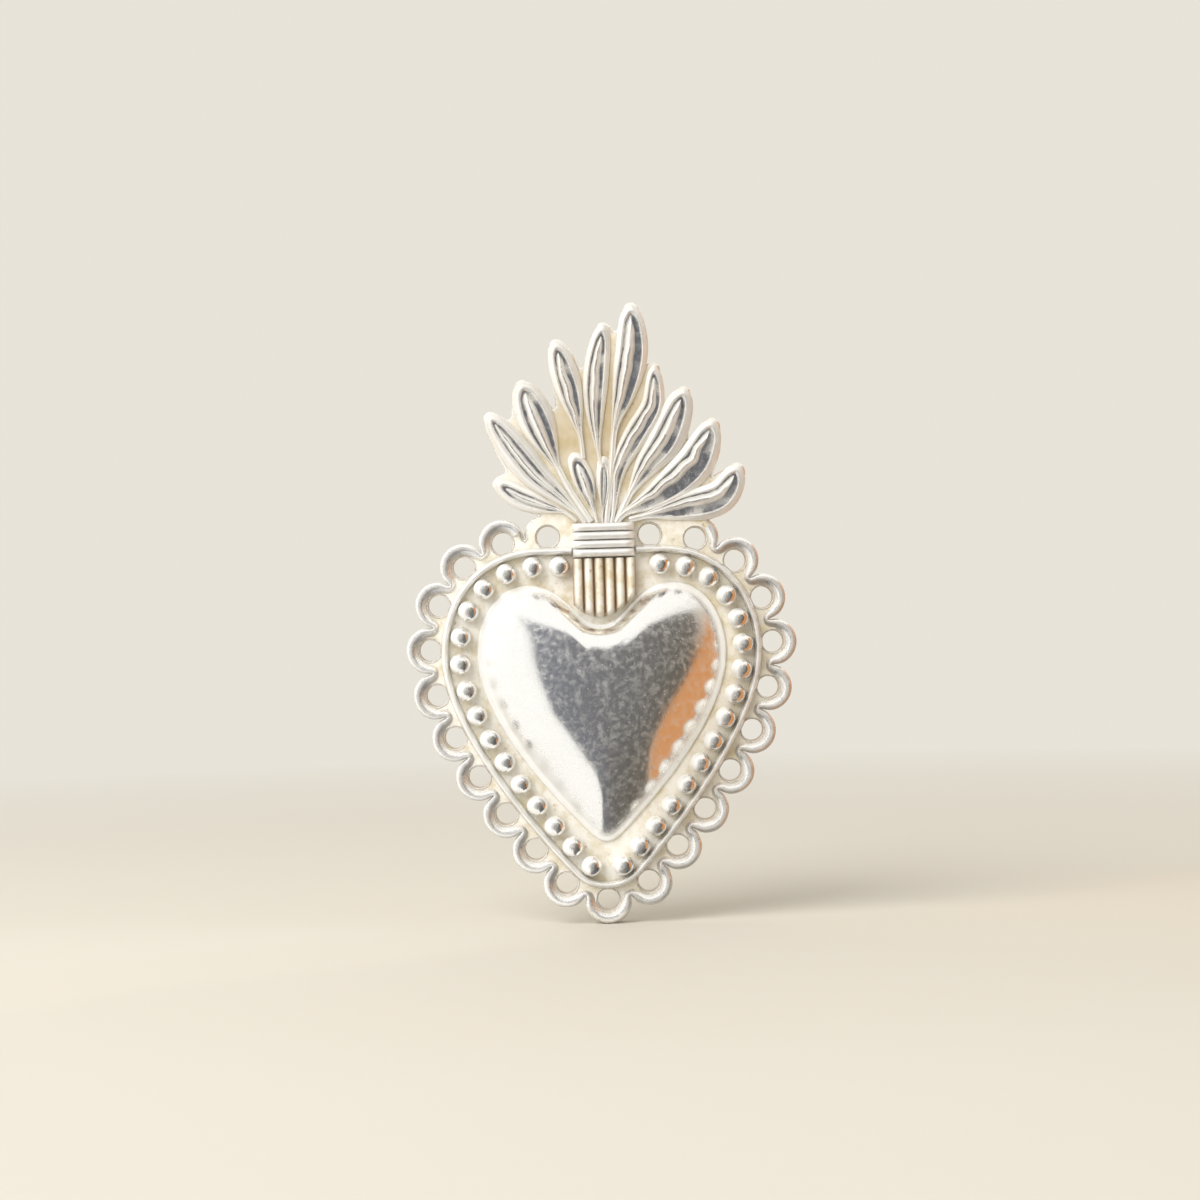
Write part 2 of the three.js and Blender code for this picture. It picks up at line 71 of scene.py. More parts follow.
# %% [markdown]
# ## The bench
# The medal is only 26 mm tall, and mesh tools have small tolerances of their own. So every piece is modelled in
# millimetres and scaled to metres when it is done. x runs to the right, z up to the flames, and the face looks
# towards -y. Each piece is one mesh with its object at the origin, as the CAD nodes are. Two marks on its vertices
# say how the silver looks there: satin where it isn't fully polished, also used for a few painted highlights, and
# shade where the silver is tarnished, also used for painted shade. The plate is matt on its face, so it is marked
# with polish where handling has polished it, and not with satin.

# %% Bench units
MM = 0.001
PLATE = 0.9
OUT = Vector((0, -1, 0))
CAD_WELD = 0.002
WELD = 1e-4
SAME_LEVEL = 0.01
SAME_DEPTH = 0.005


def spot(x, z, height=0.0):
    """A point at a height above the plate's face."""
    return Vector((x, -PLATE - height, z))


def cad_copy(node):
    """A CAD node's shape in millimetres, with its loose triangles joined."""
    bm = bmesh.new()
    bm.from_mesh(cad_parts[node].data)
    bmesh.ops.scale(bm, vec=(1 / MM, 1 / MM, 1 / MM), verts=bm.verts)
    bmesh.ops.remove_doubles(bm, verts=bm.verts, dist=CAD_WELD)
    return bm


def cad_box(node):
    """Both corners of a CAD node's box in millimetres."""
    return [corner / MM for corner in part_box(node)]


def bench():
    """An empty mesh whose vertices carry both marks."""
    bm = bmesh.new()
    return bm, bm.verts.layers.float.new("satin"), bm.verts.layers.float.new("shade")


def only(kind, geometry):
    """The vertices, edges or faces among a tool's results."""
    return [one for one in geometry if isinstance(one, kind)]


def finished(name, bm, slot, *nodes, sharp=60):
    """Turns a bench mesh into a piece of the medal that stands for its CAD nodes."""
    bmesh.ops.recalc_face_normals(bm, faces=bm.faces)
    bmesh.ops.scale(bm, vec=(MM, MM, MM), verts=bm.verts)
    mesh = bpy.data.meshes.new(name)
    bm.to_mesh(mesh)
    bm.free()
    mesh.shade_smooth()
    mesh.set_sharp_from_angle(angle=math.radians(sharp))
    made = bpy.data.objects.new(name, mesh)
    bpy.context.scene.collection.objects.link(made)
    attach(made, "root")
    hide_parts(*nodes)
    return made


plate_low, plate_high = cad_box("back_plate")
print("plate, mm:", [round(size, 2) for size in plate_high - plate_low])

# %% [markdown]
# ## Lines from the CAD pieces
# A wire or an outline needs a path. The CAD pieces already hold these paths as edges, so a copy is stripped to
# the edges that matter. Cutting them up and smoothing them turns the facets into a soft line. Each smoothing pass
# is followed by one that pushes the other way, so that tips and notches don't shrink.

# %% Paths out of CAD edges
SMOOTH_AND_BACK = 0.5, -0.52


def keep_edges(bm, wanted):
    """Strips a mesh to some of its edges."""
    bmesh.ops.delete(bm, geom=bm.faces[:], context="FACES_ONLY")
    bmesh.ops.delete(bm, geom=[edge for edge in bm.edges if edge not in wanted], context="EDGES")


def smooth(bm, verts, factor):
    """Moves vertices towards the middle of their neighbours, or away from it."""
    bmesh.ops.smooth_vert(bm, verts=verts, factor=factor, use_axis_x=True, use_axis_y=True, use_axis_z=True)


def soften(bm, spacing, passes):
    """Cuts wires into even steps and smooths them without shrinking them."""
    for edge in bm.edges[:]:
        cuts = round(edge.calc_length() / spacing) - 1
        if cuts > 0:
            bmesh.ops.subdivide_edges(bm, edges=[edge], cuts=cuts)
    inner = [vert for vert in bm.verts if len(vert.link_edges) == 2]
    for factor in SMOOTH_AND_BACK * passes:
        smooth(bm, inner, factor)


def chains(bm):
    """The wires of a mesh as vertices in order, open wires first."""
    ends = [vert for vert in bm.verts if len(vert.link_edges) == 1]
    seen = set()
    found = []
    for start in ends + bm.verts[:]:
        if start in seen:
            continue
        line = []
        ahead = [start]
        while ahead:
            line.append(ahead[0])
            seen.add(ahead[0])
            ahead = [edge.other_vert(line[-1]) for edge in line[-1].link_edges]
            ahead = [vert for vert in ahead if vert not in seen]
        found.append(line)
    return found


def sharp_edges(bm, height, least=0.6):
    """Edges at a height above the plate's face where the surface turns sharply."""
    level = spot(0, 0, height).y
    flat = [edge for edge in bm.edges if all(abs(v.co.y - level) < SAME_LEVEL for v in edge.verts)]
    return {edge for edge in flat if len(edge.link_faces) == 2 and edge.calc_face_angle() > least}


def crest_line(node, spacing, passes):
    """The top line of a CAD wire, from its left end to its right end."""
    bm = cad_copy(node)
    top = min(vert.co.y for vert in bm.verts)
    keep_edges(bm, {edge for edge in bm.edges if all(v.co.y - top < SAME_LEVEL for v in edge.verts)})
    soften(bm, spacing, passes)
    line = [spot(vert.co.x, vert.co.z) for vert in chains(bm)[0]]
    bm.free()
    return line if line[0].x < line[-1].x else line[::-1]


lip_line = crest_line("lace_wire", spacing=0.09, passes=4)
rim_line = crest_line("rim_wire", spacing=0.3, passes=4)
print("lip and rim points:", len(lip_line), len(rim_line))

# %% [markdown]
# ## The pierced plate
# The sheet is sawn to its outline, its edge is rounded with a file, and the lace holes are drilled. One face with the
# whole outline is extruded to the sheet's thickness and bevelled. A hole's profile, with the small burr that the
# drill leaves, is spun round its axis, and a fill joins the outline to the holes. The edge and the back are worn
# brighter than the face, and the hole walls are darker, partly tarnished and partly painted shade.

# %% Outline and holes
plate = cad_copy("back_plate")
keep_edges(plate, sharp_edges(plate, 0.0))
rings = sorted(chains(plate), key=lambda ring: max(v.co.z for v in ring) - min(v.co.z for v in ring))
hole_spots = [sum((vert.co for vert in ring), Vector()) / len(ring) for ring in rings[:-1]]
HOLE_RADIUS = (rings[0][0].co - hole_spots[0]).length
bmesh.ops.delete(plate, geom=[vert for ring in rings[:-1] for vert in ring], context="VERTS")
soften(plate, spacing=0.07, passes=4)
print("holes:", len(hole_spots), "of radius", round(HOLE_RADIUS, 3))

# %% Sheet with a rounded edge
# Depth of an edge, how far it is rounded, and in how many steps
EDGE_ROUNDING = (-PLATE, 0.17, 4), (0.0, 0.08, 2)
face = bmesh.ops.contextual_create(plate, geom=plate.edges[:])["faces"][0]
sheet = bmesh.ops.extrude_face_region(plate, geom=[face])["geom"]
bmesh.ops.translate(plate, vec=-OUT * PLATE, verts=only(bmesh.types.BMVert, sheet))


def at_depth(bm, depth):
    """Edges whose both ends lie at one depth."""
    return [edge for edge in bm.edges if all(abs(v.co.y - depth) < SAME_DEPTH for v in edge.verts)]


for depth, offset, segments in EDGE_ROUNDING:
    bmesh.ops.bevel(
        plate,
        geom=at_depth(plate, depth),
        offset=offset,
        offset_type="OFFSET",
        segments=segments,
        profile=0.5,
        affect="EDGES",
        clamp_overlap=False,
        material=-1,
    )
wide_faces = sorted(plate.faces, key=lambda one: one.calc_area())[-2:]
borders = {round(one.calc_center_median().y, 1): one.edges[:] for one in wide_faces}
bmesh.ops.delete(plate, geom=wide_faces, context="FACES_ONLY")
print("edge loops at depths:", sorted(borders))

# %% Holes spun and faces filled
# Distance from the hole's wall and height above the face
HOLE_PROFILE = (
    (0.1, 0.0), (0.07, 0.015), (0.04, 0.01), (0.01, -0.03), (0.0, -0.1), (0.0, 0.06 - PLATE), (0.05, -PLATE),
)
HOLE_STEPS = 28
for centre in hole_spots:
    verts = [plate.verts.new(spot(centre.x + HOLE_RADIUS + r, centre.z, h)) for r, h in HOLE_PROFILE]
    edges = [plate.edges.new(pair) for pair in zip(verts, verts[1:])]
    bmesh.ops.spin(
        plate, geom=verts + edges, cent=centre, axis=OUT, angle=math.tau, steps=HOLE_STEPS, use_merge=True
    )
for depth, border in ((-PLATE, borders[-PLATE]), (0.0, borders[0.0])):
    rims = [edge for edge in at_depth(plate, depth) if edge.is_boundary]
    bmesh.ops.triangle_fill(plate, edges=list(dict.fromkeys(rims + border)), use_beauty=True, use_dissolve=False)
print("plate mesh:", len(plate.verts), "vertices")

# %% Marks on the plate
HOLE_MARGIN = 0.02
# Tarnished and painted shade: the hole walls are darkened towards the brown
HOLE_SHADE = 0.5
EDGE_POLISH = 0.65
FLAT = 0.999
polish = plate.verts.layers.float.new("polish")
shade = plate.verts.layers.float.new("shade")
for vert in plate.verts:
    in_hole = min((vert.co.xz - centre.xz).length for centre in hole_spots) < HOLE_RADIUS + HOLE_MARGIN
    on_face = abs(vert.co.y + PLATE) < SAME_DEPTH
    vert[polish] = 0.0 if in_hole or on_face else EDGE_POLISH
    vert[shade] = HOLE_SHADE if in_hole else 0.0
plate_piece = finished("pierced_plate", plate, "matt_silver", "back_plate")
for polygon in plate_piece.data.polygons:
    polygon.use_smooth = abs(polygon.normal.y) < FLAT
print("plate faces:", len(plate_piece.data.polygons))

# %% [markdown]
# ## Wires
# The lace has a raised round lip that slopes down to the holes, and the heart's border has a rim wire. Each is
# a section carried along its line. The section is extruded one step, then a matrix takes it from the last station's
# frame to the next one's. A section's points give the place across and up, then the satin and the shade. The lip
# gets narrower in the notches, where two holes are equally near. Its last numbers say how far a point looks away from
# the hole, and only what looks down and to the right, away from the lamp, gets painted shade. The rim is whiter
# towards the left, a painted highlight on the side of the lamp, and its foot is darkened by dirt and painted shade.

# %% Sweep a section along stations
NOTCH_REACH = 0.45
LIP_UNEVENNESS = 0.12


def stations_on(line, width=lambda place: 1.0):
    """Frames along a line: to the right of the way, along it, and out of the face."""
    last = len(line) - 1
    frames = []
    for index, place in enumerate(line):
        way = (line[min(index + 1, last)] - line[max(index - 1, 0)]).normalized()
        across = Vector((way.z, 0, -way.x)) * width(place)
        frames.append(Matrix([*zip(across, way, OUT, place), (0, 0, 0, 1)]))
    return frames


def lip_width(place):
    """Full round a hole, half in a notch, and never quite even."""
    near, next_near = sorted((place - centre).length for centre in hole_spots)[:2]
    full = 0.5 + 0.5 * min(1.0, (next_near - near) / NOTCH_REACH)
    return full * (1 + LIP_UNEVENNESS * noise.noise(place * 1.3))


def swept(frames, section):
    """Extrudes a closed section from frame to frame and caps both ends."""
    bm, satin, shade = bench()
    verts = []
    for across, up, *marks in section:
        verts.append(bm.verts.new(frames[0] @ Vector((across, 0, up))))
        verts[-1][satin], verts[-1][shade] = marks
    edges = [bm.edges.new(pair) for pair in zip(verts, verts[1:] + verts[:1])]
    first = edges
    for here, there in zip(frames, frames[1:]):
        made = bmesh.ops.extrude_edge_only(bm, edges=edges)["geom"]
        verts = set(only(bmesh.types.BMVert, made))
        bmesh.ops.transform(bm, matrix=there @ here.inverted(), verts=list(verts))
        edges = [edge for edge in only(bmesh.types.BMEdge, made) if verts.issuperset(edge.verts)]
    for end in (first, edges):
        bmesh.ops.contextual_create(bm, geom=end)
    return bm


lip_stations = stations_on(lip_line, lip_width)
rim_stations = stations_on(rim_line)
print("lip and rim stations:", len(lip_stations), len(rim_stations))

# %% Lip of the lace
LIP_SECTION = (
    (-0.02, -0.2, 0.5, 1.0), (0.135, -0.06, 0.5, 1.0), (0.15, 0.03, 0.4, 1.0), (0.135, 0.095, 0.3, 0.9),
    (0.1, 0.145, 0.25, 0.8), (0.05, 0.18, 0.35, 0.4), (0.0, 0.195, 0.5, 0.0), (-0.05, 0.195, 0.5, 0.0),
    (-0.1, 0.18, 0.35, -0.4), (-0.15, 0.15, 0.25, -0.8), (-0.21, 0.1, 0.25, -1.0), (-0.26, 0.06, 0.4, -1.0),
    (-0.32, 0.015, 0.8, -0.5), (-0.33, -0.2, 0.8, -0.5),
)
LIP_SHADE = 0.6
DARK_SIDE = Vector((0.5, -0.85))
lip = swept(lip_stations, LIP_SECTION)
shade = lip.verts.layers.float["shade"]
# Painted shade: slopes of the lip that face down and to the right, away from the lamp, are darkened
for vert in lip.verts:
    away = min((vert.co.xz - centre.xz for centre in hole_spots), key=lambda one: one.length).normalized()
    vert[shade] = LIP_SHADE * max(0.0, vert[shade] * away.dot(DARK_SIDE))
lip_piece = finished("lace_lip", lip, "polished_silver", "lace_wire")
print("lip faces:", len(lip_piece.data.polygons))

# %% Rim round the heart
# The shade at the lower points of the section is dirt and painted shade where the wire meets the plate
RIM_SIDE = (
    (0.03, 0.42, 0.6, 0.0), (0.07, 0.39, 0.4, 0.0), (0.1, 0.31, 0.25, 0.0), (0.125, 0.16, 0.3, 0.1),
    (0.16, 0.04, 0.7, 0.3), (0.2, -0.1, 0.8, 0.4),
)
RIM_SECTION = [*RIM_SIDE, *[(-across, *rest) for across, *rest in reversed(RIM_SIDE)]]
RIM_SATIN = 0.4
RIM_SATIN_LOSS = 0.06
rim = swept(rim_stations, RIM_SECTION)
satin = rim.verts.layers.float["satin"]
# More satin towards the left: a painted highlight on the side the lamp is on
for vert in rim.verts:
    vert[satin] = max(vert[satin], RIM_SATIN - RIM_SATIN_LOSS * vert.co.x)
rim_piece = finished("rim_band", rim, "polished_silver", "rim_wire")
print("rim faces:", len(rim_piece.data.polygons))

# %% [markdown]
# ## The hollow heart
# A thin sheet is pressed into a heart-shaped die, so it rises from its foot at a slope, and it is a little uneven. It
# is built like a contour map: one ring of edges is extruded again and again, each time to the next contour, from the
# flange round the foot up to the crown. The contours turn from the heart into a circle on the way up. The foot's
# outline comes from the CAD piece, with a little more smoothing where the heart's tip is worn round. The polish fades
# out near the foot, sooner on the left than on the right and at the tip, and a scuff runs down the lower left flank.

# %% Read the heart's foot
CROWN = (0.0, 1.12)
FLANGE_HEIGHT = 0.15
WORN_TIP = 1.2
WORN_PASSES = 24
foot = cad_copy("heart_dome")
keep_edges(foot, sharp_edges(foot, FLANGE_HEIGHT, least=0.3))
rings = sorted(chains(foot), key=lambda ring: max(v.co.x for v in ring))
bmesh.ops.delete(foot, geom=rings[-1], context="VERTS")
soften(foot, spacing=0.12, passes=6)
lowest = min(vert.co.z for vert in foot.verts)
tip = [vert for vert in foot.verts if vert.co.z < lowest + WORN_TIP]
for _ in range(WORN_PASSES):
    smooth(foot, tip, SMOOTH_AND_BACK[0])
spokes = np.array([(v.co.x - CROWN[0], v.co.z - CROWN[1]) for v in foot.verts])
foot.free()
spoke_angles = np.arctan2(spokes[:, 1], spokes[:, 0])
spoke_lengths = np.hypot(spokes[:, 0], spokes[:, 1])
mean_spoke = spoke_lengths.mean()


def heart_reach(angle):
    """How far the heart's foot lies from the crown in a direction."""
    return float(np.interp(angle, spoke_angles, spoke_lengths, period=math.tau))


def next_ring(bm, edges, place):
    """Extrudes a ring of edges and moves each new vertex to its next place."""
    made = bmesh.ops.extrude_edge_only(bm, edges=edges)["geom"]
    verts = set(only(bmesh.types.BMVert, made))
    for vert in verts:
        place(vert)
    return [edge for edge in only(bmesh.types.BMEdge, made) if verts.issuperset(edge.verts)]


print("mean spoke of the heart, mm:", round(mean_spoke, 2))

# %% Raise the heart ring by ring
DOME_HEIGHT = 2.05
FULLNESS = 2.2
ROUNDING = 1.3
# How far outside the foot, height above the plate, and satin
FOOT_RINGS = (
    (0.25, -0.03, 0.9), (0.25, 0.06, 0.9), (0.235, 0.11, 0.9), (0.2, 0.14, 0.9), (0.14, 0.15, 0.9),
    (0.07, 0.155, 0.9), (0.03, 0.163, 0.9), (0.0, 0.18, 0.8),
)
DOME_RINGS = 64
DOME_SEGMENTS = 256
DOME_UNEVENNESS = 0.012
DOME_SATIN = 0.06
SKIRT_SATIN = 0.8
SKIRT_POWER = 24
SKIRT_POWER_PER_X = 3.6
TIP_LEVEL = -4
SCUFF = Vector((-3.0, -1.9)), Vector((-0.9, -5.0))
SCUFF_WIDTH = 0.55
SCUFF_SATIN = 0.7
SCUFF_SHADE = 0.12
dome, satin, shade = bench()
turn = dome.verts.layers.float.new("turn")
for vert in bmesh.ops.create_circle(dome, segments=DOME_SEGMENTS, radius=1.0)["verts"]:
    vert[turn] = math.atan2(vert.co.y, vert.co.x)


def heart_point(vert, share, grow, height):
    """A point on one of the heart's contours."""
    reach = share * (mean_spoke + (heart_reach(vert[turn]) - mean_spoke) * share**ROUNDING) + grow
    return spot(CROWN[0] + reach * math.cos(vert[turn]), CROWN[1] + reach * math.sin(vert[turn]), height)


def scuffed(place):
    """Fades from 1 on the line of the scuff to 0 a little way off."""
    start, end = SCUFF
    share = (place - start).dot(end - start) / (end - start).length_squared
    return math.exp(-((place - start.lerp(end, min(1.0, max(0.0, share)))).length / SCUFF_WIDTH) ** 2)


edges = dome.edges[:]
for index, (grow, height, skin) in enumerate(FOOT_RINGS):

    def on_foot(vert):
        vert.co = heart_point(vert, 1.0, grow, height)
        vert[satin] = skin

    if index == 0:
        for vert in dome.verts:
            on_foot(vert)
    else:
        edges = next_ring(dome, edges, on_foot)
foot_edges = [edge for edge in dome.edges if edge.is_boundary and edge not in set(edges)]
for row in range(1, DOME_RINGS + 1):
    share = 1 - row / DOME_RINGS
    height = FLANGE_HEIGHT + (DOME_HEIGHT - FLANGE_HEIGHT) * (1 - share**FULLNESS)

    def on_dome(vert):
        vert.co = heart_point(vert, share, 0.0, height)
        vert.co += OUT * DOME_UNEVENNESS * noise.noise(vert.co * 0.7) * min(1.0, 3.0 * (1.0 - share))
        power = SKIRT_POWER + SKIRT_POWER_PER_X * vert.co.x + SKIRT_POWER * max(0.0, TIP_LEVEL - vert.co.z)
        scuff = scuffed(vert.co.xz)
        vert[satin] = max(DOME_SATIN, SKIRT_SATIN * share**power, SCUFF_SATIN * scuff)
        vert[shade] = SCUFF_SHADE * scuff

    edges = next_ring(dome, edges, on_dome)
bmesh.ops.contextual_create(dome, geom=foot_edges)
bmesh.ops.remove_doubles(dome, verts=dome.verts, dist=WELD)
dome.verts.layers.float.remove(turn)
dome_piece = finished("puffed_heart", dome, "polished_silver", "heart_dome", sharp=75)
print("heart faces:", len(dome_piece.data.polygons))

# %% [markdown]
# ## Beads
# A bead is a granule of silver that has sunk into a little solder. A ball is cut flat below its middle, and the cut
# edge is flared to the solder's foot. The beads were melted by hand, so each differs a touch from its neighbour. Each
# is more satin and so whiter at its upper left: a painted highlight on the side the light comes from.

# %% Melt the beads
BEAD_RADIUS = 0.44
BEAD_SEAT = 0.27
BEAD_CUT = 0.06
BEADS_PER_SIDE = 16
# Growth of the foot and its height
BEAD_FOOT = (1.07, 0.02), (1.14, -0.03)
melt = random.Random(7)
bead_pieces = []
for side in ("left", "right"):
    for number in range(1, BEADS_PER_SIDE + 1):
        node = f"bead_{side}_{number:02d}"
        low, high = cad_box(node)
        middle = (low + high) / 2
        seat = spot(middle.x, middle.z)
        bead, satin, shade = bench()
        bmesh.ops.create_uvsphere(bead, u_segments=24, v_segments=16, radius=BEAD_RADIUS)
        bmesh.ops.scale(bead, vec=[melt.uniform(0.96, 1.03) for _ in range(3)], verts=bead.verts)
        bmesh.ops.rotate(bead, cent=(0, 0, 0), matrix=Matrix.Rotation(math.pi / 2, 3, "X"), verts=bead.verts)
        bmesh.ops.translate(bead, vec=seat + OUT * BEAD_SEAT, verts=bead.verts)
        cut = bmesh.ops.bisect_plane(
            bead,
            geom=bead.verts[:] + bead.edges[:] + bead.faces[:],
            plane_co=seat + OUT * BEAD_CUT,
            plane_no=-OUT,
            clear_outer=True,
        )["geom_cut"]
        # More satin towards the upper left: a painted highlight on the lit side of the bead
        for vert in bead.verts:
            vert[satin] = max(0.0, 0.3 - 1.5 * (vert.co.x - seat.x) + 0.5 * (vert.co.z - seat.z))
        edges = only(bmesh.types.BMEdge, cut)
        for flare, height in BEAD_FOOT:

            def on_seat(vert):
                vert.co = spot(*(seat.xz + (vert.co.xz - seat.xz) * flare), height)
                vert[satin] = 1.0

            edges = next_ring(bead, edges, on_seat)
        bmesh.ops.contextual_create(bead, geom=edges)
        bead_pieces.append(finished(f"grain_{side}_{number:02d}", bead, "polished_silver", node))
print("beads:", len(bead_pieces))

# %% [markdown]
# ## Stem and collar
# The stem is a flat bar with six reeds chased along it, and the collar is a band with four ridges across it. A grid
# is the natural start for such relief: every vertex gets its height from its place, and the border is then pulled
# down to the plate.

# %% Relief on a grid
RIDGE_POWER = 2.2
SUNK = -0.02


def relief(columns, rows, place, skin, dirt):
    """A grid whose vertices get their place from shares across and along, closed down to the plate."""
    bm, satin, shade = bench()
    bmesh.ops.create_grid(bm, x_segments=columns, y_segments=rows, size=0.5)
    for vert in bm.verts:
        across, along = vert.co.x + 0.5, vert.co.y + 0.5
        vert.co = place(across, along)
        vert[satin] = skin
        vert[shade] = dirt(across, along)

    def to_plate(vert):
        vert.co.y = spot(0, 0, SUNK).y

    edges = next_ring(bm, [edge for edge in bm.edges if edge.is_boundary], to_plate)
    bmesh.ops.contextual_create(bm, geom=edges)
    return bm


def ridge(share, count, fill=1.0):
    """Height of a row of round ridges that fill part of their pitch, from 0 in a groove to 1 on top."""
    offset = (2 * ((share * count) % 1.0) - 1) / fill
    return math.sqrt(max(0.0, 1 - abs(offset) ** RIDGE_POWER))


def eased(distance, radius):
    """Rises from 0 to 1 over a quarter circle."""
    return math.sqrt(max(0.0, 1 - max(0.0, 1 - distance / radius) ** 2))


print("ridge and ease at a quarter:", round(ridge(0.25, 1), 3), round(eased(0.25, 1.0), 3))

# %% Reeded stem
STEM_REEDS = 6, 0.85
STEM_GAP = 0.55
STEM_FOOT, STEM_BODY, STEM_REED = 0.12, 0.2, 0.33
STEM_END = 0.22
stem_low, stem_high = cad_box("stem")
cleft_angles = np.linspace(0.25 * math.pi, 0.75 * math.pi, 200)
cleft_reaches = np.array([heart_reach(angle) for angle in cleft_angles]) + STEM_GAP


def stem_place(across, along):
    """Reeds that end in a curve above the heart's cleft."""
    x = stem_low.x + across * (stem_high.x - stem_low.x)
    cleft_x = cleft_reaches * np.cos(cleft_angles)
    end = float(np.interp(-x, -cleft_x, CROWN[1] + cleft_reaches * np.sin(cleft_angles)))
    z = end + along * (stem_high.z - end)
    height = STEM_BODY + STEM_REED * ridge(across, *STEM_REEDS)
    return spot(x, z, STEM_FOOT + height * eased(z - end, STEM_END))


def stem_dirt(across, along):
    """Tarnish in the grooves between the reeds."""
    return 1 - ridge(across, *STEM_REEDS)


stem = relief(columns=72, rows=20, place=stem_place, skin=0.0, dirt=stem_dirt)
stem_piece = finished("reeded_stem", stem, "matt_silver", "stem")
print("stem faces:", len(stem_piece.data.polygons))

# %% Ridged collar
COLLAR_RIDGES = 4
COLLAR_FOOT, COLLAR_BODY, COLLAR_RIDGE = 0.2, 0.3, 0.34
COLLAR_END = 0.4
COLLAR_DIRT = 0.4
collar_low, collar_high = cad_box("collar")


def collar_place(across, along):
    """Ridges that fall off towards both ends of the band."""
    x = collar_low.x + across * (collar_high.x - collar_low.x)
    z = collar_low.z + along * (collar_high.z - collar_low.z)
    ease = eased(min(across, 1 - across) * (collar_high.x - collar_low.x), COLLAR_END)
    height = COLLAR_RIDGE * ridge(along, COLLAR_RIDGES) * (0.35 + 0.65 * ease)
    return spot(x, z, COLLAR_FOOT + COLLAR_BODY * ease + height)


def collar_dirt(across, along):
    """Tarnish deep in the grooves between the ridges."""
    return COLLAR_DIRT * (1 - ridge(along, COLLAR_RIDGES)) ** 2


collar = relief(columns=40, rows=48, place=collar_place, skin=0.65, dirt=collar_dirt)
collar_piece = finished("ridged_collar", collar, "polished_silver", "collar")
print("collar faces:", len(collar_piece.data.polygons))

# %% [markdown]
# ## Flame tongues
# Each tongue is a small leaf: a raised border that reaches the edge of the sheet, a polished floor inside it, and a
# round rib that stands out of the floor, often nearer to one side. It is a contour map again. A leaf's contours
# share one spine, a smooth curve through the points of the CAD model, and each is narrower and ends a little before
# the one outside it. Below its blade a leaf has a thin stalk that goes in under the collar. Each line of the table
# gives a leaf's width, the width inside its border, the rib's share of that and how far it leans to the right, how
# many points belong to the stalk, and the spine's points from the middle of the collar's top.

# %% Tables of leaves and rings
CREST = (0.2, collar_high.z)
LEAVES = (
    (0.7, 0.4, 0.7, 0.1, 1, (-1.1, 0.1), (-1.6, 0.5), (-2.4, 0.75), (-3.4, 1.15), (-4.25, 1.7)),
    (1.05, 0.48, 0.74, -0.1, 1, (-0.75, 0.0), (-1.0, 0.4), (-1.8, 1.2), (-2.9, 2.25), (-4.55, 4.45)),
    (1.25, 0.82, 0.66, -0.1, 2, (-0.5, 0.05), (-1.33, 1.41), (-1.85, 2.45), (-2.45, 3.85), (-3.2, 5.75)),
    (0.9, 0.58, 0.7, -0.2, 1, (-0.75, 2.7), (-0.85, 3.7), (-1.2, 5.35), (-1.75, 7.4)),
    (0.8, 0.56, 0.72, -0.15, 1, (0.05, 2.3), (-0.1, 2.95), (-0.2, 4.7), (-0.1, 6.35), (0.2, 8.05)),
    (1.1, 0.84, 0.6, -0.25, 2, (0.15, 0.0), (0.42, 2.2), (0.6, 3.9), (1.05, 5.5), (1.4, 7.15), (1.4, 8.85)),
    (0.75, 0.56, 0.7, -0.2, 1, (0.35, 0.0), (0.45, 0.45), (0.7, 2.2), (1.45, 3.6), (2.2, 4.85), (2.3, 6.3)),
    (1.25, 0.74, 0.66, -0.2, 1, (0.55, 0.0), (1.2, 1.25), (1.85, 2.3), (2.75, 3.5), (3.5, 5.3)),
    (1.3, 0.96, 0.5, -0.4, 1, (0.6, 0.05), (0.95, 0.4), (2.3, 1.1), (3.85, 2.35), (4.65, 3.95)),
    (1.15, 0.82, 0.55, -0.35, 1, (1.1, 0.1), (1.8, 0.25), (3.3, 0.55), (4.9, 0.95), (5.65, 2.05)),
    (0.6, 0.56, 0.66, 0.0, 1, (-0.25, 0.0), (-0.35, 0.45), (-0.65, 1.5), (-1.1, 2.75)),
    (0.4, 0.22, 0.7, 0.0, 1, (0.0, 0.0), (0.0, 0.45), (0.1, 1.55), (0.1, 2.55)),
)
BORDER = 0.14
BORDER_HEIGHT = 0.2
# Share of the border crossed, share of the floor or of the rib inside it, setback of the tip, height, share of the
# rib's rise, satin on the left and on the right, and whether it belongs to the rib
LEAF_RINGS = (
    (0.0, 1.0, 0.0, -0.15, 0.0, 0.7, 0.6, 0), (0.0, 1.0, 0.0, 0.02, 0.0, 0.7, 0.6, 0),
    (0.08, 1.0, 0.02, 0.06, 0.0, 0.7, 0.6, 0), (0.3, 1.0, 0.08, 0.09, 0.0, 0.7, 0.6, 0),
    (0.55, 1.0, 0.18, 0.14, 0.0, 0.65, 0.6, 0), (0.75, 1.0, 0.27, BORDER_HEIGHT, 0.0, 0.6, 0.5, 0),
    (0.88, 1.0, 0.33, 0.19, 0.0, 0.5, 0.4, 0), (0.96, 1.0, 0.37, 0.12, 0.0, 0.3, 0.2, 0),
    (1.0, 1.0, 0.4, 0.065, 0.0, 0.1, 0.1, 0), (1.0, 0.97, 0.44, 0.06, 0.0, 0.0, 0.0, 0),
    (1.0, 1.0, 0.52, 0.065, 0.0, 0.0, 0.0, 1), (1.0, 0.92, 0.56, 0.07, 0.15, 0.5, 0.5, 1),
    (1.0, 0.62, 0.66, 0.07, 0.55, 0.55, 0.6, 1), (1.0, 0.32, 0.78, 0.07, 0.87, 0.5, 0.6, 1),
    (1.0, 0.12, 0.88, 0.07, 0.98, 0.35, 0.4, 1), (1.0, 0.0, 0.94, 0.07, 1.0, 0.1, 0.1, 1),
)
